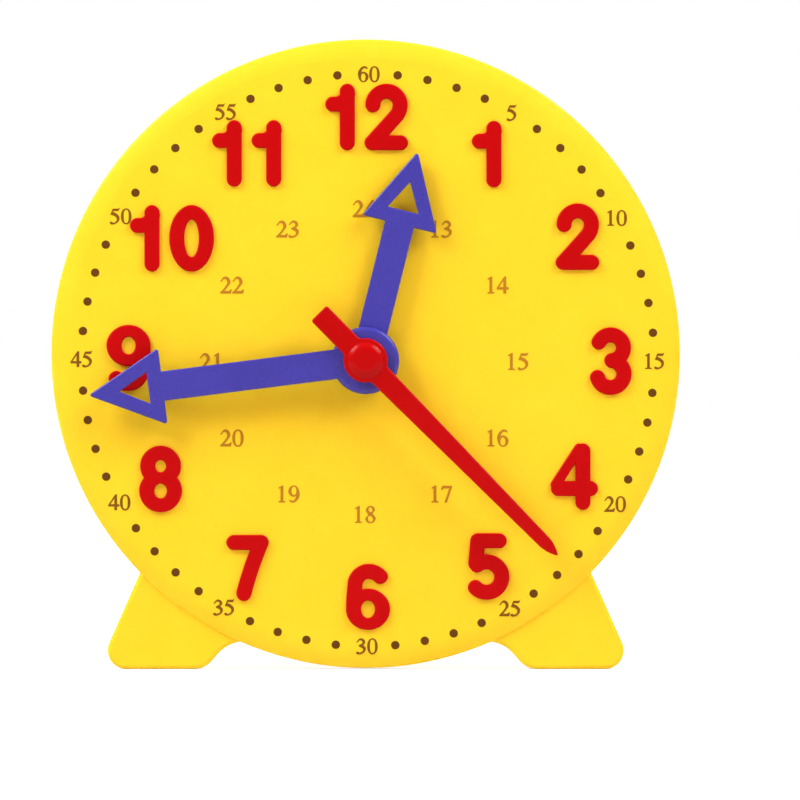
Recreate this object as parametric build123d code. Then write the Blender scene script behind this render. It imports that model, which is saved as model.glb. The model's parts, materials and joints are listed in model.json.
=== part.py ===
from build123d import *
import math
import os

# Teaching clock that stands on two feet: a round yellow case, raised red hour numerals
# and three hands. Behind the dial a motion work gears the hour hand to the minute hand.
#
# Sizes are millimetres and degrees. Every piece is drawn in the clock's own frame: x to
# the right and y up as a reader sees the dial, z from the flat back towards the reader.
# Its origin is where the axis of the hands meets the back. The last section stands the
# pieces up, with the floor at zero height.

# Case
DISC_DIAMETER = 100.0
AXIS_DROP = 1.1             # axis of the hands below the middle of the disc
DIAL_THICKNESS = 1.3
BACK_THICKNESS = 1.2
SIDE_WALL = 1.6
RIM_WIDTH = 3.0             # rolled front edge of the disc
RIM_DROP = 0.6
RIM_EDGE_ROUND = 0.5
CAVITY_ROUND = 1.4
BACK_EDGE_ROUND = 0.5
SEAM_INSET = 0.15           # back cover inside the outline of the front case
LIP_HEIGHT = 1.4
LIP_WALL = 1.2
LIP_CLEARANCE = 0.1

# Feet, seen from the front, measured from the upright centre line of the disc
FOOT_DROP = 0.2             # soles below the lowest point of the disc
FOOT_STEP_DEPTH = 0.8       # front of the feet behind the dial face
FOOT_TOE_REACH = 42.7       # outer lower corner before rounding
FOOT_LEAN_ANGLE = 23.8      # outer edge from the upright
FOOT_HEEL_REACH = 25.6      # inner lower corner before rounding
FOOT_ARCH_ANGLE = 41.0      # inner edge from the upright
FOOT_ARCH_HEIGHT = 4.4
FOOT_TOE_ROUND = 3.0
FOOT_HEEL_ROUND = 3.8
FOOT_ARCH_ROUND = 5.8
FOOT_EDGE_ROUND = 0.7
FOOT_ROOT_SHARE = 0.5       # of the disc's radius, how deep a foot runs in behind it

# Case screws
SCREW_EDGE_DISTANCE = 10.0  # middle of a screw in from the edge of the disc
SCREW_COUNT = 4
SCREW_DIAMETER = 2.0
SCREW_HEAD_DIAMETER = 4.0
SCREW_HEAD_HEIGHT = 0.8
SCREW_HEAD_ROUND = 0.3
SCREW_SINK = 0.1            # head below the back
SCREW_FLOOR = 1.1           # cover left under a head
SCREW_BITE = 2.6            # length in the boss of the front case
SCREW_TIP = 0.4
SCREW_BOSS_WALL = 1.7
DRIVE_SPAN = 2.2
DRIVE_WIDTH = 0.6
DRIVE_DEPTH = 0.45

# Fits, each on the radius or along the axis
RUNNING_CLEARANCE = 0.04
SEAT_CLEARANCE = 0.02
RECESS_CLEARANCE = 0.15
END_PLAY = 0.1

# Pins and pipes of the motion work
PIN_DIAMETER = 2.0
PIN_HEAD_DIAMETER = 4.4
PIN_HEAD_HEIGHT = 0.5
PIN_TIP = 0.25
PIN_BOSS_WALL = 1.2
PIN_SOCKET_FLOOR = 0.5      # plastic left beyond a blind pin socket
ARBOR_WALL = 1.16
PIPE_WALL = 1.1
HAND_SEAT_STEP = 0.3        # shoulder that carries a hand
SEAT_FLAT_SHARE = 0.85      # of a seat's radius, where its two flats lie
COLLAR_WALL = 1.2
WASHER_HEIGHT = 0.4
WASHER_THICKNESS = 0.2
WASHER_WIDTH = 1.7

# Gears: minute pinion and wheel behind, wheel pinion and hour wheel in front
WHEEL_CLEARANCE = 4.45      # minute wheel to the lip of the back cover
PINION_TEETH = 12
WHEEL_TEETH = 36
HOUR_TEETH = 48
PRESSURE_ANGLE = 20.0
SHIFT_SHARE = 0.3           # of the module, pinions outwards and wheels inwards
ADDENDUM_SHARE = 0.95       # of the module
DEDENDUM_SHARE = 1.25       # of the module
BACKLASH = 0.12             # taken off each tooth along the pitch circle
GEAR_THICKNESS = 1.4
GEAR_LEVEL_GAP = 0.5
THRUST_COLLAR_HEIGHT = 0.6
WEB_RECESS = 0.4
WEB_INNER_SHARE = 0.4       # of a wheel's pitch radius
WEB_OUTER_SHARE = 0.82      # of a wheel's pitch radius

# Hour and minute hands
NUMERAL_CLEARANCE = 0.6     # hour hand above the numerals
HAND_GAP = 0.2              # between hands
HAND_THICKNESS = 1.0
HAND_EDGE_ROUND = 0.3
HOUR_REACH = 34.2
MINUTE_REACH = 44.3
HOUR_BOSS_DIAMETER = 9.6
MINUTE_BOSS_DIAMETER = 10.7
BOSS_EDGE_ROUND = 0.75
ARM_WIDTH = 4.7
HEAD_LENGTH = 11.95
HEAD_WIDTH = 12.25
HEAD_CORNER_ROUND = 0.35
WINDOW_WIDTH = 5.0
WINDOW_HEIGHT = 4.6
WINDOW_INSET = 2.3
HOUR_REST_ANGLE = 14.0      # clockwise from twelve, as photographed
MINUTE_REST_ANGLE = 262.8

# Second hand
SECOND_THICKNESS = 0.9
SECOND_REACH = 43.4
SECOND_TAIL = 10.5
SECOND_TAIL_WIDTH = 3.5
SECOND_TAIL_ROUND = 0.45
SECOND_ROOT_WIDTH = 3.65
SECOND_TIP_WIDTH = 2.1
SECOND_POINT_LENGTH = 3.6
SECOND_POINT_BULGE = 0.3
SECOND_TIP_ROUND = 0.2
SECOND_EDGE_ROUND = 0.25
SECOND_REST_ANGLE = 135.4
HUB_DIAMETER = 7.0
HUB_CORNER_ROUND = 0.8      # between the hub and the sides of the arm and tail
DOME_DIAMETER = 6.0
DOME_TOP_DIAMETER = 2.9
DOME_SHOULDER_SHARE = 0.81  # of the dome's side, the rest is its hollow foot
HUB_RISE = 0.6
HUB_ROOF = 0.4

# Raised numerals
NUMERAL_EDGE_DISTANCE = 12.0  # circle of the numerals in from the edge of the disc
NUMERAL_HEIGHT = 10.6
NUMERAL_STROKE = 2.42
NUMERAL_RELIEF = 0.5
NUMERAL_ROUND = 0.25
NUMERAL_GAP = 1.55          # between the digits of one numeral
PEG_DIAMETER = 1.2

# Middle of each numeral from the axis, in shares of the numeral circle's radius
NUMERAL_PLACE_SHARES = {
    1: (0.505, 0.863),
    2: (0.885, 0.518),
    3: (1.025, -0.002),
    4: (0.872, -0.485),
    5: (0.512, -0.861),
    6: (0.010, -0.987),
    7: (-0.496, -0.866),
    8: (-0.857, -0.495),
    9: (-0.991, 0.010),
    10: (-0.810, 0.511),
    11: (-0.498, 0.866),
    12: (0.003, 1.018),
}

# Digits as pen strokes, in shares of the height of their centre lines, from the middle of
# the digit. A stroke has its start, its heading in degrees and its moves. A move with a
# turn is an arc of that radius, and a move without one is a straight run of that length.
PEN_SHARES = {
    "1": [
        (0.145, -0.5, 90, [(1.0, 0)]),
        (-0.137, 0.25, 0, [(0.282, 0)]),
        (-0.137, 0.25, 0, [(0.055, 0), (0.24, 80)]),
    ],
    "2": [
        (-0.257, 0.235, 90, [(0.265, -180), (0.33, -42), (0.69, 0)]),
        (-0.265, -0.5, 0, [(0.545, 0)]),
    ],
    "3": [
        (0.021, 0.01, 6, [(0.25, 238)]),
        (0.021, 0.01, -6, [(0.262, -249)]),
    ],
    "4": [
        (0.168, -0.5, 90, [(1.0, 0)]),
        (-0.307, -0.232, 0, [(0.622, 0)]),
    ],
    "5": [
        (0.215, 0.5, 180, [(0.415, 0)]),
        (-0.2, 0.5, 264.9, [(0.438, 0)]),
        (-0.212, 0.028, 38, [(0.295, -265)]),
    ],
    "6": [(-0.281, -0.245, 90, [(3.9, -7.5), (0.262, -82.5), (0.308, -47.5)])],
    "7": [
        (-0.252, 0.49, 0, [(0.522, 0)]),
        (-0.06, -0.5, 75.6, [(6.9, -8.7)]),
    ],
}
# Centre line of a digit's thin bar, drawn with a finer pen
BAND_WIDTH_SHARE = 0.68     # of the stroke
BAND_SHARES = {"4": ((0.096, 0.545), (-0.36, -0.158))}
# Oval rings of a digit: height of the middle, half width and half height of the centre line,
# and how thick the ring is above and below its hole, of the stroke
RING_SHARES = {
    "0": [(0.0, 0.288, 0.5, 0.97)],
    "6": [(-0.245, 0.281, 0.255, 0.8)],
    "8": [(0.25, 0.25, 0.25, 0.95), (-0.232, 0.268, 0.268, 0.93)],
}
# Width of the centre lines of the digits that stand in pairs
PAIR_WIDTH_SHARES = {"0": 0.576, "1": 0.282, "2": 0.545}
PEG_SHARES = {
    "0": [(0.0, 0.5), (0.0, -0.5)],
    "1": [(0.145, 0.25), (0.145, -0.4)],
    "2": [(0.0, 0.48), (0.0, -0.5)],
    "3": [(0.0, 0.48), (0.0, -0.48)],
    "4": [(0.168, 0.3), (-0.2, -0.232)],
    "5": [(0.0, 0.5), (0.0, -0.49)],
    "6": [(0.0, 0.46), (0.0, -0.5)],
    "7": [(-0.15, 0.5), (-0.06, -0.35)],
    "8": [(0.0, 0.5), (0.0, -0.5)],
    "9": [(0.0, 0.5), (0.0, -0.46)],
}

# Depths from the back, worked out from the stack of pieces
first_low = BACK_THICKNESS + WASHER_HEIGHT + END_PLAY
first_high = first_low + GEAR_THICKNESS
front_low = first_high + GEAR_LEVEL_GAP
front_high = front_low + GEAR_THICKNESS
dial_inside = front_high + THRUST_COLLAR_HEIGHT + END_PLAY
dial_face = dial_inside + DIAL_THICKNESS
numeral_top = dial_face + NUMERAL_RELIEF
hour_low = numeral_top + NUMERAL_CLEARANCE
hour_high = hour_low + HAND_THICKNESS
minute_low = hour_high + HAND_GAP
minute_high = minute_low + HAND_THICKNESS
second_low = minute_high + HAND_GAP
second_high = second_low + SECOND_THICKNESS
overall_depth = second_high + HUB_RISE
foot_face = dial_face - FOOT_STEP_DEPTH
screw_shelf = SCREW_SINK + SCREW_HEAD_HEIGHT + SCREW_FLOOR
pin_boss_top = first_low - END_PLAY
pin_front_boss = front_high + END_PLAY

# Radii and places shared by pieces that fit together
disc_radius = DISC_DIAMETER / 2
pin_radius = PIN_DIAMETER / 2
bore_radius = pin_radius + RUNNING_CLEARANCE
arbor_radius = bore_radius + ARBOR_WALL
pipe_bore_radius = arbor_radius + RUNNING_CLEARANCE
pipe_radius = pipe_bore_radius + PIPE_WALL
pin_boss_radius = pin_radius + PIN_BOSS_WALL
screw_boss_radius = SCREW_DIAMETER / 2 + SCREW_BOSS_WALL
lip_radius = disc_radius - SIDE_WALL - LIP_CLEARANCE
wheel_reach = lip_radius - LIP_WALL - WHEEL_CLEARANCE
first_module = wheel_reach / (PINION_TEETH / 2 + WHEEL_TEETH + ADDENDUM_SHARE - SHIFT_SHARE)
axle_distance = first_module * (PINION_TEETH + WHEEL_TEETH) / 2
second_module = 2 * axle_distance / (PINION_TEETH + HOUR_TEETH)
disc_middle = Pos(0, AXIS_DROP)
idler_place = Pos(axle_distance, 0)
screw_circle_radius = disc_radius - SCREW_EDGE_DISTANCE
screw_places = disc_middle * PolarLocations(screw_circle_radius, SCREW_COUNT, 180 / SCREW_COUNT)
numeral_circle_radius = disc_radius - NUMERAL_EDGE_DISTANCE
pen_height = NUMERAL_HEIGHT - NUMERAL_STROKE


def slab(outline, low, high):
    """An outline carried from one depth to another."""
    return Pos(0, 0, low) * extrude(outline, high - low)


def rod(radius, low, high):
    """A round bar along the axis of the hands."""
    return slab(Circle(radius), low, high)


def front_edges(piece):
    """Edges of the face nearest the reader."""
    return piece.faces().sort_by(Axis.Z)[-1].edges()


def back_edges(piece):
    """Edges of the face furthest from the reader."""
    return piece.faces().sort_by(Axis.Z)[0].edges()


def clockwise(degrees):
    """Turn of a piece that is drawn pointing at twelve."""
    return Rot(0, 0, -degrees)


# Case outline
def foot_outline(inset):
    """Right foot as one face, drawn in by an inset all round."""
    sole = AXIS_DROP - disc_radius - FOOT_DROP
    root = AXIS_DROP - disc_radius * FOOT_ROOT_SHARE
    arch = sole + FOOT_ARCH_HEIGHT
    shank = FOOT_TOE_REACH - (root - sole) * math.tan(math.radians(FOOT_LEAN_ANGLE))
    waist = FOOT_HEEL_REACH - FOOT_ARCH_HEIGHT * math.tan(math.radians(FOOT_ARCH_ANGLE))
    inner = waist / 2
    lower = FilletPolyline(
        (shank, root),
        (FOOT_TOE_REACH, sole),
        (FOOT_HEEL_REACH, sole),
        (waist, arch),
        (inner, arch),
        radius=[FOOT_TOE_ROUND, FOOT_HEEL_ROUND, FOOT_ARCH_ROUND],
    )
    upper = Polyline((inner, arch), (inner, root), (shank, root))
    face = make_face([*lower.edges(), *upper.edges()])
    return offset(face, -inset) if inset else face


def both_feet(foot):
    """A right foot and its mirror image."""
    return [foot, mirror(foot, about=Plane.YZ)]


def turned(section):
    """Half section, drawn with radius across and depth up, turned about the axis."""
    return Rot(90, 0, 0) * revolve(section, Axis.Y)


def rolled_disc():
    """Solid disc whose front edge rolls over towards the side wall."""
    rim_low = dial_face - RIM_DROP
    flat = disc_radius - RIM_WIDTH
    section = make_face(
        [
            Polyline((flat, dial_face), (0, dial_face), (0, BACK_THICKNESS), (disc_radius, BACK_THICKNESS)),
            Line((disc_radius, BACK_THICKNESS), (disc_radius, rim_low)),
            TangentArc((flat, dial_face), (disc_radius, rim_low), tangent=(1, 0)),
        ]
    )
    edge = section.vertices().group_by(Axis.X)[-1].sort_by(Axis.Y)[-1]
    return turned(fillet(edge, RIM_EDGE_ROUND))


def front_case():
    """Dial, side wall and fronts of the feet, open at the back."""
    body = disc_middle * rolled_disc()
    foot = slab(foot_outline(0), BACK_THICKNESS, foot_face)
    foot = fillet(front_edges(foot), FOOT_EDGE_ROUND)
    body += both_feet(foot)

    cavity = disc_middle * rod(disc_radius - SIDE_WALL, BACK_THICKNESS, dial_inside)
    cavity = fillet(front_edges(cavity), CAVITY_ROUND)
    body -= cavity
    body -= both_feet(slab(foot_outline(SIDE_WALL), BACK_THICKNESS, foot_face - DIAL_THICKNESS))

    screw_end = screw_shelf + SCREW_BITE + END_PLAY
    body += [place * rod(screw_boss_radius, screw_shelf, dial_inside) for place in screw_places]
    pilot = rod(SCREW_DIAMETER / 2 + SEAT_CLEARANCE, screw_shelf, screw_end)
    body -= [place * pilot for place in screw_places]

    body += idler_place * rod(pin_boss_radius, pin_front_boss, dial_inside)
    socket_end = dial_face - PIN_SOCKET_FLOOR
    body -= idler_place * rod(pin_radius + SEAT_CLEARANCE, pin_front_boss, socket_end)

    body -= rod(pipe_radius + RUNNING_CLEARANCE, dial_inside, dial_face)
    peg_hole = rod(PEG_DIAMETER / 2 + SEAT_CLEARANCE, dial_inside, dial_face)
    body -= [place * peg_hole for hour in NUMERAL_PLACE_SHARES for place in peg_places(hour)]
    return body


def back_cover():
    """Flat back with its own slices of the feet, a locating lip and bosses."""
    plate = disc_middle * rod(disc_radius - SEAM_INSET, 0, BACK_THICKNESS)
    plate = fillet(back_edges(plate), BACK_EDGE_ROUND)
    foot = slab(foot_outline(SEAM_INSET), 0, BACK_THICKNESS)
    foot = fillet(back_edges(foot), BACK_EDGE_ROUND)
    plate += both_feet(foot)

    lip = Circle(lip_radius) - Circle(lip_radius - LIP_WALL)
    plate += disc_middle * slab(lip, BACK_THICKNESS, BACK_THICKNESS + LIP_HEIGHT)

    head_radius = SCREW_HEAD_DIAMETER / 2 + RECESS_CLEARANCE
    plate += [place * rod(screw_boss_radius, BACK_THICKNESS, screw_shelf) for place in screw_places]
    screw_hole = rod(SCREW_DIAMETER / 2 + RECESS_CLEARANCE, 0, screw_shelf)
    screw_hole += rod(head_radius, 0, SCREW_SINK + SCREW_HEAD_HEIGHT)
    plate -= [place * screw_hole for place in screw_places]

    pin_boss = rod(pin_boss_radius, BACK_THICKNESS, pin_boss_top)
    plate += [pin_boss, idler_place * pin_boss]
    pin_fit = pin_radius + SEAT_CLEARANCE
    pin_hole = rod(pin_fit, 0, pin_boss_top)
    pin_hole += rod(PIN_HEAD_DIAMETER / 2 + SEAT_CLEARANCE, 0, PIN_HEAD_HEIGHT)
    plate -= pin_hole
    plate -= idler_place * rod(pin_fit, PIN_SOCKET_FLOOR, pin_boss_top)
    return plate


def case_screws():
    """Screws from the back, each with a cross drive in its head."""
    head_low = SCREW_SINK
    head_high = head_low + SCREW_HEAD_HEIGHT
    tip = screw_shelf + SCREW_BITE
    head = rod(SCREW_HEAD_DIAMETER / 2, head_low, head_high)
    head = fillet(back_edges(head), SCREW_HEAD_ROUND)
    drive = Rectangle(DRIVE_SPAN, DRIVE_WIDTH) + Rectangle(DRIVE_WIDTH, DRIVE_SPAN)
    head -= slab(drive, head_low, head_low + DRIVE_DEPTH)
    shank = rod(SCREW_DIAMETER / 2, head_high, tip)
    screw = head + chamfer(front_edges(shank), SCREW_TIP)
    return [place * screw for place in screw_places]


# Motion work
def involute(angle):
    """Involute function of an angle in radians."""
    return math.tan(angle) - angle


def polar(radius, angle):
    """Point at a radius and an angle in radians."""
    return Vector(radius * math.cos(angle), radius * math.sin(angle))


def gear_outline(teeth, module, shift_share, tooth_angle):
    """Involute gear with a tooth in the middle of tooth_angle, given in degrees."""
    slope = math.radians(PRESSURE_ANGLE)
    pitch = teeth * module / 2
    base = pitch * math.cos(slope)
    tip = pitch + module * (ADDENDUM_SHARE + shift_share)
    root = pitch - module * (DEDENDUM_SHARE - shift_share)
    start = max(base, root)
    half_tooth = (math.pi / 2 + 2 * shift_share * math.tan(slope)) / teeth
    half_tooth -= BACKLASH / 2 / pitch

    def flank(radius):
        """Half the angle that a tooth fills at a radius."""
        return half_tooth + involute(slope) - involute(math.acos(min(base / radius, 1)))

    middle = (start + tip) / 2
    step = 2 * math.pi / teeth
    edges = []
    for tooth in range(teeth):
        centre = math.radians(tooth_angle) + tooth * step
        right = [polar(r, centre - flank(r)) for r in (start, middle, tip)]
        left = [polar(r, centre + flank(r)) for r in (tip, middle, start)]
        low_right = polar(root, centre - flank(start))
        low_left = polar(root, centre + flank(start))
        next_right = polar(root, centre + step - flank(start))
        if start > root:
            edges += [Line(low_right, right[0]), Line(left[-1], low_left)]
        edges += [
            ThreePointArc(*right),
            ThreePointArc(right[-1], polar(tip, centre), left[0]),
            ThreePointArc(*left),
            ThreePointArc(low_left, polar(root, centre + step / 2), next_right),
        ]
    return make_face(edges)


def two_flats(radius, clearance):
    """Round seat with two flats, or the hole for it when a clearance is given."""
    flat = 2 * (radius * SEAT_FLAT_SHARE + clearance)
    return Circle(radius + clearance) & Rectangle(flat, 2 * (radius + clearance))


def web_recess(pitch, depth_low, depth_high):
    """Ring taken out of the face of a wheel between its hub and its rim."""
    ring = Circle(pitch * WEB_OUTER_SHARE) - Circle(pitch * WEB_INNER_SHARE)
    return slab(ring, depth_low, depth_high)


def centre_pin():
    """Fixed pin on the axis of the hands, headed at the back."""
    tip = overall_depth - HUB_ROOF - END_PLAY
    shank = chamfer(front_edges(rod(pin_radius, PIN_HEAD_HEIGHT, tip)), PIN_TIP)
    return rod(PIN_HEAD_DIAMETER / 2, 0, PIN_HEAD_HEIGHT) + shank


def idler_pin():
    """Fixed pin of the minute wheel, held at both ends."""
    tip = dial_face - PIN_SOCKET_FLOOR - END_PLAY
    return idler_place * chamfer(front_edges(rod(pin_radius, PIN_SOCKET_FLOOR, tip)), PIN_TIP)


def friction_washer():
    """Dished spring washer that keeps the minute hand where it is put."""
    inner = pin_boss_radius + RUNNING_CLEARANCE
    outer = inner + WASHER_WIDTH
    low = BACK_THICKNESS
    high = BACK_THICKNESS + WASHER_HEIGHT
    section = make_face(
        Polyline(
            (inner, 0, high - WASHER_THICKNESS),
            (outer, 0, low),
            (outer, 0, low + WASHER_THICKNESS),
            (inner, 0, high),
            close=True,
        )
    )
    return revolve(section, Axis.Z)


def minute_arbor():
    """Minute pinion and the pipe that carries the minute hand."""
    arbor = slab(gear_outline(PINION_TEETH, first_module, SHIFT_SHARE, 0), first_low, first_high)
    arbor += rod(arbor_radius + COLLAR_WALL, first_high, front_low - END_PLAY)
    arbor += rod(arbor_radius, first_high, minute_low)
    seat = clockwise(MINUTE_REST_ANGLE) * two_flats(arbor_radius - HAND_SEAT_STEP, 0)
    arbor += slab(seat, minute_low, minute_high)
    return arbor - rod(bore_radius, first_low, minute_high)


def minute_wheel():
    """Wheel driven by the minute pinion, in one piece with the pinion of the hour wheel."""
    gap = 180 + 180 / WHEEL_TEETH
    wheel = slab(gear_outline(WHEEL_TEETH, first_module, -SHIFT_SHARE, gap), first_low, first_high)
    pitch = WHEEL_TEETH * first_module / 2
    wheel -= web_recess(pitch, first_high - WEB_RECESS, first_high)
    pinion = gear_outline(PINION_TEETH, second_module, SHIFT_SHARE, 180)
    wheel += slab(pinion, first_high, front_high)
    wheel -= rod(bore_radius, first_low, front_high)
    return idler_place * wheel


def hour_wheel():
    """Hour wheel with the pipe that passes through the dial and carries the hour hand."""
    gap = 180 / HOUR_TEETH
    wheel = slab(gear_outline(HOUR_TEETH, second_module, -SHIFT_SHARE, gap), front_low, front_high)
    pitch = HOUR_TEETH * second_module / 2
    wheel -= web_recess(pitch, front_high - WEB_RECESS, front_high)
    wheel += rod(pipe_radius + COLLAR_WALL, front_high, front_high + THRUST_COLLAR_HEIGHT)
    wheel += rod(pipe_radius, front_high, hour_low)
    seat = clockwise(HOUR_REST_ANGLE) * two_flats(pipe_radius - HAND_SEAT_STEP, 0)
    wheel += slab(seat, hour_low, hour_high)
    return wheel - rod(pipe_bore_radius, front_low, hour_high)


# Hands
def arrow_hand(reach, boss_diameter, seat_radius, low, high):
    """Hand with a round boss and a windowed arrow head, pointing at twelve."""
    neck = reach - HEAD_LENGTH
    head = Polygon(
        (-HEAD_WIDTH / 2, neck), (HEAD_WIDTH / 2, neck), (0, reach), align=None
    )
    head = fillet(head.vertices(), HEAD_CORNER_ROUND)
    window_low = neck + WINDOW_INSET
    window = Polygon(
        (-WINDOW_WIDTH / 2, window_low),
        (WINDOW_WIDTH / 2, window_low),
        (0, window_low + WINDOW_HEIGHT),
        align=None,
    )
    arm = Pos(0, window_low / 2) * Rectangle(ARM_WIDTH, window_low)
    hand = slab(arm + head - window, low, high)
    hand = fillet(front_edges(hand), HAND_EDGE_ROUND)
    boss = rod(boss_diameter / 2, low, high)
    hand += fillet(front_edges(boss), BOSS_EDGE_ROUND)
    return hand - slab(two_flats(seat_radius, SEAT_CLEARANCE), low, high)


def hour_hand():
    """Short hand, nearest the dial."""
    seat = pipe_radius - HAND_SEAT_STEP
    hand = arrow_hand(HOUR_REACH, HOUR_BOSS_DIAMETER, seat, hour_low, hour_high)
    return clockwise(HOUR_REST_ANGLE) * hand


def minute_hand():
    """Long hand, in front of the hour hand."""
    seat = arbor_radius - HAND_SEAT_STEP
    hand = arrow_hand(MINUTE_REACH, MINUTE_BOSS_DIAMETER, seat, minute_low, minute_high)
    return clockwise(MINUTE_REST_ANGLE) * hand


def second_dome():
    """Low flat-topped dome of the hub, running out into the flat top of the second hand."""
    flat = HUB_DIAMETER / 2 - SECOND_EDGE_ROUND
    foot = Vector(DOME_DIAMETER / 2, second_high)
    top = Vector(DOME_TOP_DIAMETER / 2, overall_depth)
    bend = top + (foot - top) * DOME_SHOULDER_SHARE
    rest = [(flat, second_high), (flat, second_low), (0, second_low), (0, overall_depth)]
    shoulder = TangentArc(top, bend, tangent=(1, 0))
    hollow = TangentArc(foot, bend, tangent=(-1, 0))
    return turned(make_face([Polyline(foot, *rest, top), shoulder, hollow]))


def second_hand():
    """Slim hand with a tail and a domed hub, on the tip of the centre pin."""
    shoulder = SECOND_REACH - SECOND_POINT_LENGTH
    half_tip = SECOND_TIP_WIDTH / 2
    half_root = SECOND_ROOT_WIDTH / 2
    bulge = (half_tip / 2 + SECOND_POINT_BULGE, shoulder + SECOND_POINT_LENGTH / 2)
    edges = [
        Line((-half_root, 0), (half_root, 0)),
        Line((half_root, 0), (half_tip, shoulder)),
        ThreePointArc((half_tip, shoulder), bulge, (0, SECOND_REACH)),
        ThreePointArc((0, SECOND_REACH), (-bulge[0], bulge[1]), (-half_tip, shoulder)),
        Line((-half_tip, shoulder), (-half_root, 0)),
    ]
    arm = make_face(edges)
    arm = fillet(arm.vertices().sort_by(Axis.Y)[-1], SECOND_TIP_ROUND)
    tail = Pos(0, -SECOND_TAIL / 2) * Rectangle(SECOND_TAIL_WIDTH, SECOND_TAIL)
    tail = fillet(tail.vertices().group_by(Axis.Y)[0], SECOND_TAIL_ROUND)
    outline = arm + tail + Circle(HUB_DIAMETER / 2)
    roots = outline.vertices().sort_by_distance((0, 0))[:4]
    bar = slab(fillet(roots, HUB_CORNER_ROUND), second_low, second_high)
    bar = fillet(front_edges(bar), SECOND_EDGE_ROUND)

    hand = bar + second_dome() - rod(bore_radius, second_low, overall_depth - HUB_ROOF)
    return clockwise(SECOND_REST_ANGLE) * hand


# Numerals
def pen_stroke(stroke):
    """Face that a round pen covers along one stroke."""
    x, y, heading, moves = stroke
    place = Vector(x * pen_height, y * pen_height)
    edges = []
    for size, turn in moves:
        ahead = polar(1, math.radians(heading))
        if turn:
            move = JernArc(place, ahead, size * pen_height, turn)
        else:
            move = Line(place, place + ahead * size * pen_height)
        edges += move.edges()
        place = move @ 1
        heading += turn
    return make_face(Wire(edges).offset_2d(NUMERAL_STROKE / 2))


def thin_band(start_share, end_share):
    """Straight bar with round ends, thinner than the strokes."""
    middle = Line(Vector(*start_share) * pen_height, Vector(*end_share) * pen_height)
    return make_face(Wire(middle.edges()).offset_2d(NUMERAL_STROKE * BAND_WIDTH_SHARE / 2))


def ring(half_width, half_height):
    """Oval about the origin, a true circle where its halves are alike."""
    if half_width == half_height:
        return Circle(half_width)
    return Ellipse(half_width, half_height)


def digit_outline(digit):
    """One digit about its own middle."""
    if digit == "9":
        return Rot(0, 0, 180) * digit_outline("6")
    half = NUMERAL_STROKE / 2
    faces = [pen_stroke(stroke) for stroke in PEN_SHARES.get(digit, [])]
    if digit in BAND_SHARES:
        faces.append(thin_band(*BAND_SHARES[digit]))
    holes = []
    for up, wide, high, crown in RING_SHARES.get(digit, []):
        middle = Pos(0, up * pen_height)
        outer_height = high * pen_height + half
        faces.append(middle * ring(wide * pen_height + half, outer_height))
        holes.append(middle * ring(wide * pen_height - half, outer_height - crown * NUMERAL_STROKE))
    outline = Sketch() + faces
    return outline - holes if holes else outline


def digit_places(hour):
    """Each digit of a numeral with the place of its middle."""
    across, up = NUMERAL_PLACE_SHARES[hour]
    middle = Pos(across * numeral_circle_radius, up * numeral_circle_radius)
    digits = str(hour)
    if len(digits) == 1:
        return [(digits, middle)]
    left, right = (PAIR_WIDTH_SHARES[digit] * pen_height + NUMERAL_STROKE for digit in digits)
    return [
        (digits[0], middle * Pos(-(right + NUMERAL_GAP) / 2, 0)),
        (digits[1], middle * Pos((left + NUMERAL_GAP) / 2, 0)),
    ]


def peg_places(hour):
    """Places of the pegs that hold a numeral to the dial."""
    places = []
    for digit, middle in digit_places(hour):
        places += [middle * Pos(x * pen_height, y * pen_height) for x, y in PEG_SHARES[digit]]
    return places


def numeral(hour):
    """Raised numeral, each digit with two pegs in the dial."""
    pieces = []
    peg = rod(PEG_DIAMETER / 2, dial_inside, dial_face)
    for digit, middle in digit_places(hour):
        relief = slab(digit_outline(digit), dial_face, numeral_top)
        relief = fillet(front_edges(relief), NUMERAL_ROUND)
        pegs = [Pos(x * pen_height, y * pen_height) * peg for x, y in PEG_SHARES[digit]]
        pieces.append(middle * (relief + pegs))
    return pieces


# Standing the clock up: the back faces +Y, the dial faces -Y, the soles rest on the floor
axis_height = disc_radius + FOOT_DROP - AXIS_DROP
standing = Plane(
    origin=(0, overall_depth / 2, axis_height), x_dir=(1, 0, 0), z_dir=(0, -1, 0)
)

pieces = {
    "front_case": [front_case()],
    "back_cover": [back_cover()],
    "case_screws": case_screws(),
    "centre_pin": [centre_pin()],
    "idler_pin": [idler_pin()],
    "friction_washer": [friction_washer()],
    "minute_arbor": [minute_arbor()],
    "minute_wheel": [minute_wheel()],
    "hour_wheel": [hour_wheel()],
    "hour_hand": [hour_hand()],
    "minute_hand": [minute_hand()],
    "second_hand": [second_hand()],
}
for hour in NUMERAL_PLACE_SHARES:
    pieces[f"numeral_{hour}"] = numeral(hour)

os.makedirs("parts", exist_ok=True)
for name, shapes in pieces.items():
    solids = [standing.location * solid for shape in shapes for solid in shape.solids()]
    export_step(Compound(solids), f"parts/{name}.step")
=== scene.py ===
import json
import logging
import math
from dataclasses import dataclass, field
from enum import Enum, IntEnum

import bmesh
import bpy
from mathutils import Matrix, Vector


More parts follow.
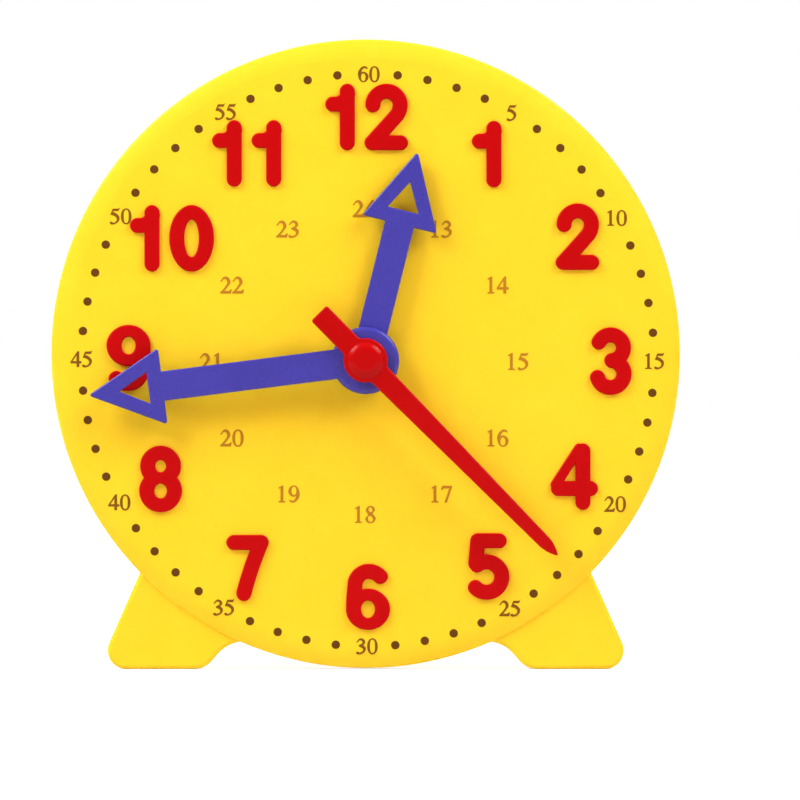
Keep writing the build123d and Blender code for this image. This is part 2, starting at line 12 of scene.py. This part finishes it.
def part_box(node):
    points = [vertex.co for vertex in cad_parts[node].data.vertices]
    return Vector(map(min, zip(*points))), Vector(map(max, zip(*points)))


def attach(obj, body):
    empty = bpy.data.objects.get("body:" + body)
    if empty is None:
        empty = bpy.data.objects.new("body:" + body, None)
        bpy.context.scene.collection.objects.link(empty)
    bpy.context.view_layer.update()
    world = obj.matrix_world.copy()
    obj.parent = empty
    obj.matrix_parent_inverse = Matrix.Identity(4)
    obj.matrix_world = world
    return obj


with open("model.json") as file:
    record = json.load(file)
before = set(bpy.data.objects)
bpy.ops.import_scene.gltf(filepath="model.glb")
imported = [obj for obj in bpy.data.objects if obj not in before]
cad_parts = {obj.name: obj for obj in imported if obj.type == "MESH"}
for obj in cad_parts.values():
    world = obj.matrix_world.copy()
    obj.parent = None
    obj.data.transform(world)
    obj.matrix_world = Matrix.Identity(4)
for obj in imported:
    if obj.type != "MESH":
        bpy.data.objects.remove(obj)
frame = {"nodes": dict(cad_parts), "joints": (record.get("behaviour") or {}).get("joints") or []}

LOG = logging.getLogger("teaching_clock")
MM = 0.001
FULL_TURN = 360
QUARTER_TURN = math.pi / 2

Colour = tuple[float, float, float, float]
WHITE: Colour = (1.0, 1.0, 1.0, 1.0)

# Scale of 8-bit sRGB steps
SRGB_STEPS = 255
SRGB_KNEE = 0.04045
SRGB_SLOPE = 12.92
SRGB_OFFSET = 0.055
SRGB_POWER = 2.4

# Middle of a noise, where most of its values lie
NOISE_LOW = 0.3
NOISE_HIGH = 0.7


def paint(red: int, green: int, blue: int) -> Colour:
    """Turn a colour of 8-bit sRGB steps into linear light.

    Args:
        red: Red from 0 to 255.
        green: Green from 0 to 255.
        blue: Blue from 0 to 255.

    Returns:
        The linear colour with an alpha of one.
    """
    light = []
    for step in (red, green, blue):
        share = step / SRGB_STEPS
        if share <= SRGB_KNEE:
            light.append(share / SRGB_SLOPE)
        else:
            light.append(((share + SRGB_OFFSET) / (1 + SRGB_OFFSET)) ** SRGB_POWER)
    return (*light, 1.0)


class Body(Enum):
    """CAD bodies that a dressed piece can ride on."""

    CASE = "case"


class Bend(Enum):
    """How an outline passes one of its points."""

    CORNER = "VECTOR"
    ROUND = "AUTO"


class MixSocket(IntEnum):
    """Sockets of a mix node that are used when it mixes colours."""

    SHARE = 0
    FIRST = 6
    SECOND = 7
    RESULT = 2


# Finishes


class NodeBoard:
    """Node tree of one material, with short calls to add and join its nodes."""

    def __init__(self, name: str) -> None:
        """Start an empty tree that reads Object coordinates."""
        self.material = bpy.data.materials.new(name)
        self.material.use_nodes = True
        self.tree = self.material.node_tree
        self.tree.nodes.clear()
        self.output = self.add("ShaderNodeOutputMaterial")
        self.place = self.add("ShaderNodeTexCoord").outputs["Object"]

    def add(self, kind: str) -> bpy.types.Node:
        """Add one node of the given type."""
        return self.tree.nodes.new(kind)

    def join(self, source: bpy.types.NodeSocket, target: bpy.types.NodeSocket) -> None:
        """Link an output to an input."""
        self.tree.links.new(source, target)

    def principled(self) -> bpy.types.Node:
        """Add the shader of the surface and join it to the output."""
        shader = self.add("ShaderNodeBsdfPrincipled")
        self.join(shader.outputs["BSDF"], self.output.inputs["Surface"])
        return shader

    def noise(self, size: float, detail: float, stretch: Vector | None = None) -> bpy.types.NodeSocket:
        """Add a noise of a real size.

        Args:
            size: Size of one blotch in metres.
            detail: Octaves of finer noise.
            stretch: Factors along the axes, where the blotches aren't even.

        Returns:
            The noise as a value from zero to one.
        """
        texture = self.add("ShaderNodeTexNoise")
        texture.inputs["Scale"].default_value = 1 / size
        texture.inputs["Detail"].default_value = detail
        if stretch is None:
            self.join(self.place, texture.inputs["Vector"])
        else:
            mapping = self.add("ShaderNodeMapping")
            mapping.inputs["Scale"].default_value = stretch
            self.join(self.place, mapping.inputs["Vector"])
            self.join(mapping.outputs["Vector"], texture.inputs["Vector"])
        return texture.outputs["Fac"]

    def spread(self, value: bpy.types.NodeSocket, low: float, high: float) -> bpy.types.NodeSocket:
        """Carry the middle of a noise over to a range.

        Args:
            value: Noise to carry over.
            low: Result where the noise is low.
            high: Result where the noise is high.

        Returns:
            The value in its new range.
        """
        ranged = self.add("ShaderNodeMapRange")
        ranged.inputs["From Min"].default_value = NOISE_LOW
        ranged.inputs["From Max"].default_value = NOISE_HIGH
        ranged.inputs["To Min"].default_value = low
        ranged.inputs["To Max"].default_value = high
        self.join(value, ranged.inputs["Value"])
        return ranged.outputs["Result"]

    def mottle(self, value: bpy.types.NodeSocket, first: Colour, second: Colour) -> bpy.types.NodeSocket:
        """Mix two colours by a noise.

        Args:
            value: Noise that mixes them.
            first: Colour where the noise is low.
            second: Colour where the noise is high.

        Returns:
            The mixed colour.
        """
        share = self.spread(value, 0, 1)
        mixed = self.add("ShaderNodeMix")
        mixed.data_type = "RGBA"
        self.join(share, mixed.inputs[MixSocket.SHARE])
        mixed.inputs[MixSocket.FIRST].default_value = first
        mixed.inputs[MixSocket.SECOND].default_value = second
        return mixed.outputs[MixSocket.RESULT]

    def bump(self, height: bpy.types.NodeSocket, depth: float) -> bpy.types.NodeSocket:
        """Raise a bump from a height.

        Args:
            height: Height from zero to one.
            depth: Real depth of the bump in metres.

        Returns:
            The bent normal.
        """
        node = self.add("ShaderNodeBump")
        node.inputs["Distance"].default_value = depth
        self.join(height, node.inputs["Height"])
        return node.outputs["Normal"]


@dataclass(frozen=True)
class Plastic:
    """Moulded plastic: faint flow mottle in the colour, uneven gloss and a fine grain."""

    name: str
    colour: Colour
    drift: Colour
    roughness: float
    mottle_size: float = 9 * MM
    mottle_detail: int = 3
    gloss_spread: float = 0.05
    gloss_size: float = 2.5 * MM
    gloss_detail: int = 5
    shine: float = 0.15
    refraction: float = 1.5
    grain_size: float = 0.22 * MM
    grain_detail: int = 2
    grain_depth: float = 0.004 * MM
    glow: float = 0.0
    glow_reach: float = 0.8 * MM

    def build(self) -> bpy.types.Material:
        """Build the material of this plastic."""
        board = NodeBoard(self.name)
        shader = board.principled()
        flow = board.noise(self.mottle_size, self.mottle_detail)
        board.join(board.mottle(flow, self.colour, self.drift), shader.inputs["Base Color"])
        gloss = board.noise(self.gloss_size, self.gloss_detail)
        low = self.roughness - self.gloss_spread
        high = self.roughness + self.gloss_spread
        board.join(board.spread(gloss, low, high), shader.inputs["Roughness"])
        grain = board.noise(self.grain_size, self.grain_detail)
        board.join(board.bump(grain, self.grain_depth), shader.inputs["Normal"])
        shader.inputs["IOR"].default_value = self.refraction
        shader.inputs["Specular IOR Level"].default_value = self.shine
        shader.inputs["Subsurface Weight"].default_value = self.glow
        shader.inputs["Subsurface Scale"].default_value = self.glow_reach
        return board.material


@dataclass(frozen=True)
class PlatedSteel:
    """Zinc plated steel with dull patches and fine turning marks."""

    name: str
    colour: Colour
    tarnish: Colour
    roughness: float = 0.3
    dull_roughness: float = 0.45
    patch_size: float = 2 * MM
    patch_detail: int = 4
    mark_size: float = 0.5 * MM
    mark_detail: int = 2
    mark_stretch: tuple[float, float, float] = (1, 8, 1)
    mark_depth: float = 0.006 * MM

    def build(self) -> bpy.types.Material:
        """Build the material of this metal."""
        board = NodeBoard(self.name)
        shader = board.principled()
        shader.inputs["Metallic"].default_value = 1.0
        patches = board.noise(self.patch_size, self.patch_detail)
        board.join(board.mottle(patches, self.colour, self.tarnish), shader.inputs["Base Color"])
        dull = board.spread(patches, self.roughness, self.dull_roughness)
        board.join(dull, shader.inputs["Roughness"])
        marks = board.noise(self.mark_size, self.mark_detail, Vector(self.mark_stretch))
        board.join(board.bump(marks, self.mark_depth), shader.inputs["Normal"])
        return board.material


@dataclass(frozen=True)
class PrintInk:
    """Matt pad-print ink, a little uneven in cover."""

    name: str
    colour: Colour
    thin: Colour
    cover_size: float = 0.35 * MM
    cover_detail: int = 4
    roughness: float = 0.5
    thin_roughness: float = 0.7
    shine: float = 0.1

    def build(self) -> bpy.types.Material:
        """Build the material of this ink."""
        board = NodeBoard(self.name)
        shader = board.principled()
        cover = board.noise(self.cover_size, self.cover_detail)
        board.join(board.mottle(cover, self.colour, self.thin), shader.inputs["Base Color"])
        matt = board.spread(cover, self.roughness, self.thin_roughness)
        board.join(matt, shader.inputs["Roughness"])
        shader.inputs["Specular IOR Level"].default_value = self.shine
        return board.material


YELLOW = Plastic(
    "yellow_case_plastic", paint(252, 220, 46), paint(250, 216, 41), 0.42, glow=0.2, gloss_spread=0.06
)
RED = Plastic("red_numeral_plastic", paint(190, 4, 8), paint(183, 3, 7), 0.4, shine=0.08)
SCARLET = Plastic(
    "red_hand_plastic", paint(187, 3, 5), paint(180, 3, 4), 0.22, gloss_spread=0.03, shine=0.08
)
BLUE = Plastic("blue_hand_plastic", paint(60, 57, 166), paint(56, 52, 159), 0.28, shine=0.3)
NATURAL = Plastic("white_gear_plastic", paint(240, 238, 230), paint(232, 229, 219), 0.45)
STEEL = PlatedSteel("plated_steel", paint(205, 205, 208), paint(176, 177, 182))
DOT_INK = PrintInk("dark_brown_ink", paint(91, 57, 14), paint(102, 66, 18))
MINUTE_INK = PrintInk("brown_ink", paint(121, 80, 20), paint(131, 90, 24))
DAY_INK = PrintInk("amber_ink", paint(177, 121, 30), paint(187, 131, 36))


@dataclass
class CastParts:
    """CAD pieces that keep their own shape and take a finish; the numerals take red."""

    finishes: dict[str, Plastic | PlatedSteel] = field(
        default_factory=lambda: {
            "front_case": YELLOW,
            "back_cover": YELLOW,
            "hour_hand": BLUE,
            "minute_hand": BLUE,
            "second_hand": SCARLET,
            "minute_arbor": NATURAL,
            "minute_wheel": NATURAL,
            "hour_wheel": NATURAL,
            "case_screws": STEEL,
            "centre_pin": STEEL,
            "idler_pin": STEEL,
            "friction_washer": STEEL,
        }
    )

    def dress(self) -> None:
        """Put the finish of each node on its object."""
        built: dict[str, bpy.types.Material] = {}
        for name, node in frame["nodes"].items():
            finish = self.finishes.get(name, RED)
            if finish.name not in built:
                built[finish.name] = finish.build()
            node.data.materials.clear()
            node.data.materials.append(built[finish.name])
            LOG.info("%s takes %s", name, finish.name)


# Dial print

C = Bend.CORNER
R = Bend.ROUND
Loop = list[tuple[float, float, Bend]]


def oval(middle: tuple[float, float], half_width: float, half_height: float) -> Loop:
    """Draw an upright oval.

    Args:
        middle: Middle of the oval.
        half_width: Half of its width.
        half_height: Half of its height.

    Returns:
        Four round points of the oval.
    """
    x, y = middle
    return [
        (x + half_width, y, R),
        (x, y + half_height, R),
        (x - half_width, y, R),
        (x, y - half_height, R),
    ]


def left_handed(loop: Loop) -> bool:
    """Tell whether a loop runs anticlockwise."""
    after = loop[1:] + loop[:1]
    return sum(x * up - across * y for (x, y, _), (across, up, _) in zip(loop, after)) > 0


@dataclass(frozen=True)
class SerifDigits:
    """Book digits with thick and thin strokes, as outlines in shares of their height."""

    advance_share: float = 0.74
    middle_share: float = 0.5
    turned_share: float = 0.98
    loops: dict[str, list[Loop]] = field(
        default_factory=lambda: {
            "0": [oval((0.37, 0.49), 0.325, 0.51), oval((0.37, 0.49), 0.19, 0.462)],
            "1": [
                [
                    (0.19, 0.0, C),
                    (0.57, 0.0, C),
                    (0.57, 0.03, C),
                    (0.44, 0.06, C),
                    (0.44, 1.0, C),
                    (0.40, 1.0, C),
                    (0.19, 0.875, C),
                    (0.20, 0.845, C),
                    (0.315, 0.88, C),
                    (0.315, 0.06, C),
                    (0.19, 0.03, C),
                ]
            ],
            "2": [
                [
                    (0.04, 0.0, C),
                    (0.655, 0.0, C),
                    (0.71, 0.21, C),
                    (0.68, 0.215, C),
                    (0.56, 0.115, C),
                    (0.22, 0.115, C),
                    (0.46, 0.40, R),
                    (0.62, 0.72, R),
                    (0.36, 1.0, R),
                    (0.06, 0.74, C),
                    (0.09, 0.725, C),
                    (0.30, 0.895, R),
                    (0.475, 0.68, R),
                    (0.34, 0.37, R),
                    (0.04, 0.035, C),
                ]
            ],
            "3": [
                [
                    (0.08, 0.78, C),
                    (0.34, 1.0, R),
                    (0.61, 0.79, R),
                    (0.47, 0.58, C),
                    (0.65, 0.32, R),
                    (0.28, -0.02, R),
                    (0.06, 0.04, R),
                    (0.08, 0.11, R),
                    (0.28, 0.05, R),
                    (0.515, 0.27, R),
                    (0.22, 0.505, C),
                    (0.22, 0.535, C),
                    (0.475, 0.755, R),
                    (0.31, 0.91, R),
                    (0.11, 0.765, C),
                ]
            ],
            "4": [
                [
                    (0.42, 0.0, C),
                    (0.55, 0.0, C),
                    (0.55, 0.245, C),
                    (0.70, 0.245, C),
                    (0.70, 0.345, C),
                    (0.55, 0.345, C),
                    (0.55, 1.0, C),
                    (0.465, 1.0, C),
                    (0.02, 0.33, C),
                    (0.02, 0.245, C),
                    (0.42, 0.245, C),
                ],
                [(0.42, 0.345, C), (0.42, 0.84, C), (0.09, 0.345, C)],
            ],
            "5": [
                [
                    (0.24, 0.98, C),
                    (0.60, 0.98, C),
                    (0.645, 1.01, C),
                    (0.575, 0.865, C),
                    (0.24, 0.865, C),
                    (0.20, 0.76, C),
                    (0.46, 0.65, R),
                    (0.645, 0.34, R),
                    (0.27, -0.02, R),
                    (0.05, 0.05, R),
                    (0.08, 0.12, R),
                    (0.28, 0.05, R),
                    (0.515, 0.28, R),
                    (0.35, 0.53, R),
                    (0.09, 0.61, C),
                ]
            ],
            "6": [
                [
                    (0.62, 0.93, C),
                    (0.63, 0.85, C),
                    (0.47, 0.91, R),
                    (0.29, 0.81, R),
                    (0.205, 0.55, C),
                    (0.40, 0.635, R),
                    (0.69, 0.33, R),
                    (0.375, -0.02, R),
                    (0.05, 0.39, R),
                    (0.16, 0.82, R),
                    (0.45, 1.0, R),
                ],
                oval((0.37, 0.29), 0.175, 0.275),
            ],
            "7": [
                [
                    (0.03, 0.78, C),
                    (0.11, 0.98, C),
                    (0.67, 0.98, C),
                    (0.67, 0.95, C),
                    (0.35, -0.01, C),
                    (0.245, -0.01, C),
                    (0.55, 0.865, C),
                    (0.19, 0.865, C),
                    (0.06, 0.765, C),
                ]
            ],
            "8": [
                [
                    (0.375, 1.0, R),
                    (0.625, 0.80, R),
                    (0.50, 0.57, R),
                    (0.67, 0.24, R),
                    (0.37, -0.02, R),
                    (0.08, 0.22, R),
                    (0.245, 0.47, R),
                    (0.115, 0.77, R),
                ],
                [(0.375, 0.955, R), (0.52, 0.80, R), (0.425, 0.625, R), (0.225, 0.80, R)],
                [(0.31, 0.43, R), (0.545, 0.17, R), (0.375, 0.025, R), (0.195, 0.22, R)],
            ],
        }
    )

    def outline(self, digit: str) -> list[Loop]:
        """Give the loops of a digit; a nine is a six turned over."""
        if digit == "9":
            return [
                [(self.advance_share - x, self.turned_share - y, bend) for x, y, bend in loop]
                for loop in self.outline("6")
            ]
        return self.loops[digit]

    def wound(self, digit: str) -> list[Loop]:
        """Give the loops of a digit, the outer one wound one way and its holes the other."""
        outer, *holes = self.outline(digit)
        loops = [outer if left_handed(outer) else outer[::-1]]
        loops += [hole[::-1] if left_handed(hole) else hole for hole in holes]
        return loops


@dataclass
class DialPrint:
    """Ink on the dial: minute dots, minute numbers and the hours of the afternoon."""

    minute_middle: tuple[float, float] = (0.35 * MM, 0.08 * MM)
    minute_turn: float = 0.2
    dot_start: tuple[float, float] = (0.14 * MM, -0.195 * MM)
    dot_ring: float = 45.5 * MM
    dot_diameter: float = 1.36 * MM
    dot_sides: int = 28
    minutes: int = 60
    minutes_between_numbers: int = 5
    minute_ring: float = 45.45 * MM
    minute_height: float = 2.4 * MM
    day_middle: tuple[float, float] = (-0.2 * MM, -0.14 * MM)
    day_ring: float = 24.3 * MM
    day_height: float = 2.6 * MM
    first_day_hour: int = 13
    bold_share: float = 0.025
    ink_thickness: float = 0.03 * MM
    curve_steps: int = 8
    digits: SerifDigits = field(default_factory=SerifDigits)

    def __post_init__(self) -> None:
        """Find the axis of the hands and the face of the dial in the frame."""
        joint = next(j for j in frame["joints"] if j["name"] == "minute_turn")
        self.axis_height = joint["pos_m"][2]
        self.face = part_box("front_case")[0].y
        upright = Matrix.Rotation(QUARTER_TURN, 4, "X")
        self.stand = Matrix.Translation((0, self.face, self.axis_height)) @ upright

    def spot(self, middle: tuple[float, float], ring: float, degrees: float) -> Vector:
        """Find a place on a ring.

        Args:
            middle: Middle of the ring from the axis, as the print lies on the dial.
            ring: Radius of the ring.
            degrees: Angle clockwise from twelve.

        Returns:
            The place on the flat dial, from the axis.
        """
        angle = math.radians(degrees)
        return Vector((middle[0] + ring * math.sin(angle), middle[1] + ring * math.cos(angle), 0))

    def dot_spot(self, degrees: float) -> Vector:
        """Find where a ray from the common start of the dots crosses their ring.

        Args:
            degrees: Angle of the ray clockwise from twelve.

        Returns:
            The place on the flat dial, from the axis.
        """
        angle = math.radians(degrees)
        ray = Vector((math.sin(angle), math.cos(angle), 0))
        start = Vector((*self.dot_start, 0))
        middle = Vector((*self.minute_middle, 0)) - start
        near = middle.dot(ray)
        return start + ray * (near + math.sqrt(self.dot_ring**2 - middle.length_squared + near**2))

    def finish(self, name: str, mesh: bpy.types.Mesh, ink: PrintInk) -> None:
        """Stand a flat print up on the dial, ink it and let it ride on the case.

        Args:
            name: Name of the piece.
            mesh: Print in the plane of the flat dial.
            ink: Its ink.
        """
        mesh.transform(self.stand)
        mesh.materials.clear()
        mesh.materials.append(ink.build())
        piece = bpy.data.objects.new(name, mesh)
        bpy.context.scene.collection.objects.link(piece)
        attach(piece, Body.CASE.value)
        LOG.info("%s has %d faces", name, len(mesh.polygons))

    def dots(self, name: str, ink: PrintInk) -> None:
        """Print a dot at each minute that has no number.

        Args:
            name: Name of the piece.
            ink: Ink of the dots.
        """
        shape = bmesh.new()
        radius = self.dot_diameter / 2
        for minute in range(self.minutes):
            if minute % self.minutes_between_numbers == 0:
                continue
            place = self.dot_spot(FULL_TURN * minute / self.minutes + self.minute_turn)
            bmesh.ops.create_cone(
                shape,
                cap_ends=True,
                segments=self.dot_sides,
                radius1=radius,
                radius2=radius - self.ink_thickness,
                depth=self.ink_thickness,
                matrix=Matrix.Translation(place + Vector((0, 0, self.ink_thickness / 2))),
            )
        mesh = bpy.data.meshes.new(name)
        shape.to_mesh(mesh)
        shape.free()
        self.finish(name, mesh, ink)

    def write(self, curve: bpy.types.Curve, number: int, middle: Vector, height: float) -> None:
        """Add the outlines of a number to a flat curve.

        Args:
            curve: Curve that takes the outlines.
            number: Number to write.
            middle: Middle of the number on the flat dial.
            height: Height of its digits.
        """
        text = str(number)
        for index, digit in enumerate(text):
            across = (index - len(text) / 2) * self.digits.advance_share
            corner = Vector((across, -self.digits.middle_share, 0))
            for loop in self.digits.wound(digit):
                spline = curve.splines.new("BEZIER")
                spline.bezier_points.add(len(loop) - 1)
                spline.use_cyclic_u = True
                for point, (x, y, bend) in zip(spline.bezier_points, loop):
                    point.co = middle + (corner + Vector((x, y, 0))) * height
                    point.handle_left_type = bend.value
                    point.handle_right_type = bend.value

    def numbers(
        self, name: str, labels: list[int], places: list[Vector], height: float, ink: PrintInk
    ) -> None:
        """Print a ring of upright numbers.

        Args:
            name: Name of the piece.
            labels: Numbers to print.
            places: Middle of each number on the flat dial.
            height: Height of their digits.
            ink: Their ink.
        """
        curve = bpy.data.curves.new(name, "CURVE")
        curve.dimensions = "2D"
        curve.fill_mode = "BOTH"
        curve.resolution_u = self.curve_steps
        curve.extrude = self.ink_thickness / 2
        curve.offset = self.bold_share * height
        for label, place in zip(labels, places):
            self.write(curve, label, place, height)
        drawn = bpy.data.objects.new(name + "_curve", curve)
        bpy.context.scene.collection.objects.link(drawn)
        bpy.context.view_layer.update()
        settled = drawn.evaluated_get(bpy.context.evaluated_depsgraph_get())
        mesh = bpy.data.meshes.new_from_object(settled)
        bpy.data.objects.remove(drawn)
        mesh.name = name
        mesh.transform(Matrix.Translation((0, 0, self.ink_thickness / 2)))
        self.finish(name, mesh, ink)

    def build(self) -> None:
        """Print the dots and both rings of numbers."""
        self.dots("minute_dots", DOT_INK)
        steps = range(1, self.minutes // self.minutes_between_numbers + 1)
        angles = [FULL_TURN * step / len(steps) for step in steps]
        minutes = [self.minutes_between_numbers * step for step in steps]
        turned = [angle + self.minute_turn for angle in angles]
        places = [self.spot(self.minute_middle, self.minute_ring, angle) for angle in turned]
        self.numbers("minute_numbers", minutes, places, self.minute_height, MINUTE_INK)
        hours = [self.first_day_hour + index for index in range(len(steps))]
        places = [self.spot(self.day_middle, self.day_ring, angle) for angle in angles]
        self.numbers("day_numbers", hours, places, self.day_height, DAY_INK)


# Stage


@dataclass
class SoftBox:
    """One soft lamp, aimed at the middle of the clock."""

    name: str
    place: Vector
    size: float
    power: float

    def build(self, target: Vector) -> None:
        """Hang the lamp and aim it.

        Args:
            target: Point that it is aimed at.
        """
        lamp = bpy.data.lights.new(self.name, "AREA")
        lamp.shape = "SQUARE"
        lamp.size = self.size
        lamp.energy = self.power
        rig = bpy.data.objects.new(self.name, lamp)
        rig.location = self.place
        rig.rotation_euler = (target - self.place).to_track_quat("-Z", "Y").to_euler()
        bpy.context.scene.collection.objects.link(rig)


@dataclass
class Studio:
    """White floor and surround, soft lamps and a long lens in front of the dial."""

    view_width: float = 127.1 * MM
    view_distance: float = 0.8
    view_middle: tuple[float, float] = (5.46 * MM, 42.84 * MM)
    sensor: float = 36.0
    floor_size: float = 6.0
    floor_gap: float = 0.05 * MM
    floor_white: float = 0.78
    floor_fade: tuple[float, float] = (0.12, 0.4)
    floor_albedo: float = 0.7
    backdrop_light: float = 1.0
    fill_light: float = 0.3
    fill_tint: Colour = (1.0, 0.28, 0.13, 1.0)
    lamps: list[SoftBox] = field(
        default_factory=lambda: [
            SoftBox("left_lamp", Vector((-0.42, -0.21, 0.475)), 0.3, 4.28),
            SoftBox("right_lamp", Vector((0.42, -0.21, 0.475)), 0.3, 3.45),
            SoftBox("back_lamp", Vector((0.2, 0.7, 0.4)), 0.5, 2.6),
        ]
    )

    def seen_share(self, tree: bpy.types.NodeTree) -> bpy.types.NodeSocket:
        """Tell rays that show the background from rays that light the clock.

        Args:
            tree: Node tree that asks.

        Returns:
            One on camera, glossy and transmission rays, and zero on the rest.
        """
        path = tree.nodes.new("ShaderNodeLightPath")
        seen = path.outputs["Is Camera Ray"]
        for other in ("Is Glossy Ray", "Is Transmission Ray"):
            either = tree.nodes.new("ShaderNodeMath")
            either.operation = "MAXIMUM"
            tree.links.new(seen, either.inputs[0])
            tree.links.new(path.outputs[other], either.inputs[1])
            seen = either.outputs[0]
        return seen

    def surround(self) -> None:
        """Make a world that looks white and fills the shadows with a warm light."""
        world = bpy.data.worlds.new("surround")
        world.use_nodes = True
        tree = world.node_tree
        tree.nodes.clear()
        output = tree.nodes.new("ShaderNodeOutputWorld")
        mixed = tree.nodes.new("ShaderNodeMixShader")
        tree.links.new(self.seen_share(tree), mixed.inputs["Fac"])
        fill = (self.fill_light, self.fill_tint)
        backdrop = (self.backdrop_light, WHITE)
        for index, (strength, tint) in enumerate((fill, backdrop), start=1):
            light = tree.nodes.new("ShaderNodeBackground")
            light.inputs["Strength"].default_value = strength
            light.inputs["Color"].default_value = tint
            tree.links.new(light.outputs[0], mixed.inputs[index])
        tree.links.new(mixed.outputs[0], output.inputs["Surface"])
        bpy.context.scene.world = world

    def floor_paint(self) -> bpy.types.Material:
        """Make a floor that takes a shadow near the clock and fades to plain white away from it."""
        board = NodeBoard("white_floor")
        matt = board.add("ShaderNodeBsdfDiffuse")
        matt.inputs["Color"].default_value = (self.floor_albedo,) * 3 + (1,)
        away = board.add("ShaderNodeVectorMath")
        away.operation = "LENGTH"
        board.join(board.place, away.inputs[0])
        near, far = self.floor_fade
        fade = board.add("ShaderNodeMapRange")
        fade.inputs["From Min"].default_value = near
        fade.inputs["From Max"].default_value = far
        fade.inputs["To Min"].default_value = self.floor_white
        fade.inputs["To Max"].default_value = self.backdrop_light
        board.join(away.outputs["Value"], fade.inputs["Value"])
        level = board.add("ShaderNodeMath")
        level.operation = "MULTIPLY"
        board.join(self.seen_share(board.tree), level.inputs[0])
        board.join(fade.outputs["Result"], level.inputs[1])
        lift = board.add("ShaderNodeEmission")
        board.join(level.outputs[0], lift.inputs["Strength"])
        both = board.add("ShaderNodeAddShader")
        board.join(matt.outputs[0], both.inputs[0])
        board.join(lift.outputs[0], both.inputs[1])
        board.join(both.outputs[0], board.output.inputs["Surface"])
        return board.material

    def floor(self) -> None:
        """Lay the floor just under the soles."""
        shape = bmesh.new()
        bmesh.ops.create_grid(
            shape,
            x_segments=1,
            y_segments=1,
            size=self.floor_size / 2,
            matrix=Matrix.Translation((0, 0, -self.floor_gap)),
        )
        mesh = bpy.data.meshes.new("floor")
        shape.to_mesh(mesh)
        shape.free()
        mesh.materials.append(self.floor_paint())
        piece = bpy.data.objects.new("floor", mesh)
        bpy.context.scene.collection.objects.link(piece)

    def camera(self, face: float) -> None:
        """Put the camera square to the dial.

        Args:
            face: Depth of the dial face, where the view has its width.
        """
        lens = bpy.data.cameras.new("camera")
        lens.sensor_width = self.sensor
        lens.lens = self.sensor * self.view_distance / self.view_width
        rig = bpy.data.objects.new("camera", lens)
        across, height = self.view_middle
        rig.location = (across, face - self.view_distance, height)
        rig.rotation_euler = (QUARTER_TURN, 0, 0)
        bpy.context.scene.collection.objects.link(rig)
        bpy.context.scene.camera = rig

    def build(self, face: float, target: Vector) -> None:
        """Set up the whole stage.

        Args:
            face: Depth of the dial face.
            target: Point that the lamps are aimed at.
        """
        self.surround()
        self.floor()
        self.camera(face)
        for lamp in self.lamps:
            lamp.build(target)
        bpy.context.scene.view_settings.view_transform = "Standard"


def main() -> None:
    """Dress the clock, print its dial and light it."""
    logging.basicConfig(level=logging.INFO)
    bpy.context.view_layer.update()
    CastParts().dress()
    dial = DialPrint()
    dial.build()
    Studio().build(dial.face, Vector((0, dial.face, dial.axis_height)))


if __name__ == "__main__":
    main()
